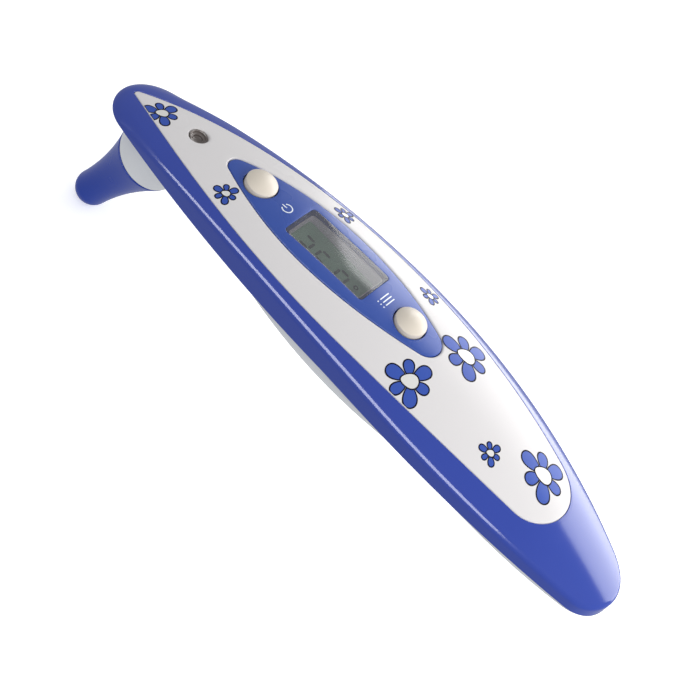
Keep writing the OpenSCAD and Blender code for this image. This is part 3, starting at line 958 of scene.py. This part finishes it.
# ---------------------------------------------------------------- materials
def shader(name, color, rough, grain=900.0, bump=0.02, tint=0.03, spread=0.05, metal=0.0, coat=0.0,
           alpha=1.0, ior=1.5, streak=None):
    """Plastic or metal with a fine grain in the bump and slow changes of colour and roughness."""
    material = bpy.data.materials.new(name)
    material.use_nodes = True
    tree = material.node_tree
    tree.nodes.clear()
    output = tree.nodes.new("ShaderNodeOutputMaterial")
    surface = tree.nodes.new("ShaderNodeBsdfPrincipled")
    tree.links.new(surface.outputs[0], output.inputs[0])
    coords = tree.nodes.new("ShaderNodeTexCoord")
    mapping = tree.nodes.new("ShaderNodeMapping")
    tree.links.new(coords.outputs["Object"], mapping.inputs["Vector"])
    if streak:
        mapping.inputs["Scale"].default_value = streak
    slow = tree.nodes.new("ShaderNodeTexNoise")
    slow.inputs["Scale"].default_value = 55.0
    slow.inputs["Detail"].default_value = 3.0
    tree.links.new(mapping.outputs[0], slow.inputs["Vector"])
    mix = tree.nodes.new("ShaderNodeMix")
    mix.data_type = "RGBA"
    lo = [max(c * (1 - tint), 0) for c in color[:3]]
    hi = [min(c * (1 + tint), 1) for c in color[:3]]
    mix.inputs[6].default_value = (*lo, 1)
    mix.inputs[7].default_value = (*hi, 1)
    tree.links.new(slow.outputs["Fac"], mix.inputs[0])
    tree.links.new(mix.outputs[2], surface.inputs["Base Color"])
    fine = tree.nodes.new("ShaderNodeTexNoise")
    fine.inputs["Scale"].default_value = grain
    fine.inputs["Detail"].default_value = 2.0
    tree.links.new(mapping.outputs[0], fine.inputs["Vector"])
    span = tree.nodes.new("ShaderNodeMapRange")
    span.inputs["To Min"].default_value = max(rough - spread, 0.02)
    span.inputs["To Max"].default_value = min(rough + spread, 1.0)
    tree.links.new(slow.outputs["Fac"], span.inputs["Value"])
    tree.links.new(span.outputs[0], surface.inputs["Roughness"])
    relief = tree.nodes.new("ShaderNodeBump")
    relief.inputs["Strength"].default_value = bump
    relief.inputs["Distance"].default_value = 0.0001
    tree.links.new(fine.outputs["Fac"], relief.inputs["Height"])
    tree.links.new(relief.outputs[0], surface.inputs["Normal"])
    surface.inputs["Metallic"].default_value = metal
    surface.inputs["IOR"].default_value = ior
    surface.inputs["Alpha"].default_value = alpha
    surface.inputs["Coat Weight"].default_value = coat
    surface.inputs["Coat Roughness"].default_value = 0.05
    return material


MATERIALS = {
    "blue_gloss": shader("blue_gloss", (0.026, 0.060, 0.385), 0.15, grain=700, bump=0.02, tint=0.04,
                         spread=0.03, ior=1.5),
    "blue_satin": shader("blue_satin", (0.038, 0.090, 0.39), 0.28, grain=1800, bump=0.05, tint=0.03,
                         ior=1.36),
    "blue_cone": shader("blue_cone", (0.024, 0.062, 0.40), 0.26, grain=1500, bump=0.04, tint=0.04,
                        ior=1.26),
    "white_satin": shader("white_satin", (0.82, 0.79, 0.78), 0.27, grain=2200, bump=0.05, tint=0.01,
                          ior=1.17),
    # glossier lip; its base, a shade lighter than white_satin, is a painted highlight
    "white_lip": shader("white_lip", (0.84, 0.82, 0.81), 0.16, grain=2200, bump=0.02, tint=0.01, ior=1.6),
    "white_shell": shader("white_shell", (0.82, 0.83, 0.85), 0.26, grain=1600, bump=0.03, tint=0.01),
    "cream": shader("cream", (0.79, 0.71, 0.60), 0.36, grain=1700, bump=0.03, tint=0.012, ior=1.22),
    "window": shader("window", (0.13, 0.13, 0.135), 0.12, grain=400, bump=0.0, tint=0.02, alpha=0.42,
                     spread=0.01, ior=1.75),
    # the display frame is white; this lilac tint is a painted reflection of the light on the window glass
    "well": shader("well", (0.90, 0.80, 0.93), 0.5, grain=1500, bump=0.05, tint=0.04),
    "smoke": shader("smoke", (0.15, 0.125, 0.115), 0.30, grain=1800, bump=0.04, tint=0.08),
    "ink": shader("ink", (0.010, 0.009, 0.020), 0.42, grain=2500, bump=0.05, tint=0.1, ior=1.12),
    "petals": shader("petals", (0.050, 0.105, 0.46), 0.30, grain=2500, bump=0.05, tint=0.06, ior=1.2),
    "core": shader("core", (0.80, 0.78, 0.74), 0.30, grain=2500, bump=0.05, tint=0.02),
    "label": shader("label", (0.80, 0.85, 0.92), 0.45, grain=2500, bump=0.05, tint=0.02),
    "lcd": shader("lcd", (0.38, 0.62, 0.44), 0.35, grain=2600, bump=0.05, tint=0.06),
    "figure": shader("figure", (0.035, 0.06, 0.055), 0.4, grain=2600, bump=0.05, tint=0.08),
    "steel": shader("steel", (0.55, 0.55, 0.57), 0.30, grain=2600, bump=0.10, tint=0.06, metal=1.0,
                    streak=(1, 1, 6)),
    "foam": shader("foam", (0.045, 0.045, 0.05), 0.95, grain=1500, bump=0.6, tint=0.25),
    "seal": shader("seal", (0.03, 0.03, 0.035), 0.7, grain=1500, bump=0.2, tint=0.1),
    "ir_window": shader("ir_window", (0.03, 0.03, 0.04), 0.12, grain=900, bump=0.01, tint=0.1),
    "gold_tube": shader("gold_tube", (0.83, 0.60, 0.22), 0.16, grain=1200, bump=0.03, tint=0.05, metal=1.0),
    "zinc": shader("zinc", (0.55, 0.56, 0.58), 0.40, grain=1500, bump=0.2, tint=0.06, metal=1.0),
    "sensor_can": shader("sensor_can", (0.62, 0.60, 0.54), 0.25, grain=1800, bump=0.08, tint=0.05,
                         metal=1.0),
    "board_green": shader("board_green", (0.018, 0.13, 0.06), 0.38, grain=900, bump=0.15, tint=0.25,
                          coat=0.3),
    "ribbon": shader("ribbon", (0.45, 0.22, 0.05), 0.35, grain=700, bump=0.1, tint=0.1, streak=(14, 1, 1)),
    "chip_black": shader("chip_black", (0.022, 0.022, 0.024), 0.55, grain=2200, bump=0.25, tint=0.15),
    "ceramic": shader("ceramic", (0.36, 0.25, 0.14), 0.45, grain=2200, bump=0.15, tint=0.12),
    "frame_white": shader("frame_white", (0.74, 0.74, 0.70), 0.5, grain=1700, bump=0.08, tint=0.02),
    "strip_rubber": shader("strip_rubber", (0.05, 0.05, 0.055), 0.75, grain=1100, bump=0.3, tint=0.15,
                           streak=(1, 9, 1)),
    "cell_steel": shader("cell_steel", (0.60, 0.61, 0.62), 0.26, grain=1100, bump=0.08, tint=0.05,
                         metal=1.0),
    "contact_metal": shader("contact_metal", (0.72, 0.58, 0.33), 0.28, grain=1600, bump=0.06, tint=0.06,
                            metal=1.0),
    "led_body": shader("led_body", (0.72, 0.72, 0.66), 0.3, grain=1600, bump=0.05, tint=0.04),
}


def paint(obj, *names):
    """Gives an object its materials in the order of its material indices."""
    obj.data.materials.clear()
    for n in names:
        obj.data.materials.append(MATERIALS[n])


for row in frame["record"]["subparts"]:
    target = nodes.get(row["node"])
    if target is not None and row["material_slot"] in MATERIALS:
        paint(target, row["material_slot"])
paint(bezel, "blue_gloss")
paint(plate, "white_satin", "white_lip")
paint(panel, "blue_satin")
# the window's edges and the white display frame take the lilac well material, a painted reflection
paint(window, "window", "well")
paint(well, "well")
paint(figures, "figure")
paint(symbols, "label")
paint(on_cap, "cream")
paint(mem_cap, "cream")
paint(indicator, "smoke")
paint(cone, "blue_cone")
paint(neck, "white_shell")
for kind, obj in flowers:
    paint(obj, PRINT_PAINTS[kind])

# ---------------------------------------------------------------- floor, light, camera
floor_mesh = bpy.data.meshes.new("floor")
floor_mesh.from_pydata([(-3, -3, 0), (3, -3, 0), (3, 3, 0), (-3, 3, 0)], [], [(0, 1, 2, 3)])
floor = bpy.data.objects.new("floor", floor_mesh)
bpy.context.scene.collection.objects.link(floor)
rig.stage(floor)
MATERIALS["floor"] = shader("floor", (0.93, 0.93, 0.93), 0.9, grain=60, bump=0.0, tint=0.004)
glow = MATERIALS["floor"].node_tree.nodes["Principled BSDF"]
glow.inputs["Emission Color"].default_value = (1, 1, 1, 1)
glow.inputs["Emission Strength"].default_value = 0.45
floor.data.materials.append(MATERIALS["floor"])
# the object is lit by the lights and the world alone, as over a distant paper backdrop
floor.visible_diffuse = False
floor.visible_glossy = False


def area(name, place, target, size, watts):
    """A rectangular light at a place, turned towards a target."""
    light = bpy.data.lights.new(name, "AREA")
    light.shape = "RECTANGLE"
    light.size, light.size_y = size
    light.energy = watts
    light.color = (1, 1, 1)
    obj = bpy.data.objects.new(name, light)
    bpy.context.scene.collection.objects.link(obj)
    obj.location = place
    obj.rotation_euler = (Vector(target) - Vector(place)).to_track_quat("-Z", "Y").to_euler()
    return obj


area("soft_right", (0.50, -0.20, 0.22), (0, -0.02, 0.04), (0.80, 0.35), 0.6)
soft_tail = area("soft_tail", (-0.05, -0.55, 0.36), (0, 0, 0.04), (0.5, 0.5), 2.6)
soft_tail.visible_glossy = False
# lights that only show as reflections in the gloss: a strip for the left crease, and a tall sheet at the
# right that fades upwards, made of nested sheets with a common foot
SHEET_X, SHEET_Y, SHEET_LOW, SHEET_LONG, SHEET_GLOW = 0.20, -0.13, 0.012, 0.42, 4.6
strips = [area("edge_left", (-0.42, 0.07, 0.40), (0, 0.01, 0.04), (0.95, 0.30), 8.5)]
for k, top in enumerate((0.10, 0.135, 0.17, 0.205, 0.24, 0.275)):
    tall, middle = top - SHEET_LOW, (SHEET_LOW + top) / 2
    watts = SHEET_GLOW * math.pi * SHEET_LONG * tall
    place, target = (SHEET_X, SHEET_Y, middle), (0, SHEET_Y, middle)
    strips.append(area(f"sheet_right_{k + 1}", place, target, (SHEET_LONG, tall), watts))
for strip in strips:
    strip.visible_camera = False
    strip.visible_diffuse = False
world = bpy.data.worlds.new("studio")
bpy.context.scene.world = world
world.use_nodes = True
world.node_tree.nodes["Background"].inputs["Color"].default_value = (0.95, 0.97, 1.0, 1)
world.node_tree.nodes["Background"].inputs["Strength"].default_value = 0.62

camera_data = bpy.data.cameras.new("camera")
camera_data.sensor_width = 36.0
camera_data.lens = 87.949
camera_data.clip_start = 0.01
camera = bpy.data.objects.new("camera", camera_data)
bpy.context.scene.collection.objects.link(camera)
camera.location = (-0.24536, -0.04199, 0.24637 + TOP * MM)
camera.rotation_euler = [math.radians(a) for a in (36.329, -25.190, -50.036)]
bpy.context.scene.camera = camera
bpy.context.scene.view_settings.view_transform = "Standard"

json.dump({"cad": [list(v) for v in CAD_BOX], "visual": [list(v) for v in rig.bounds()]},
          open("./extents.json", "w"))
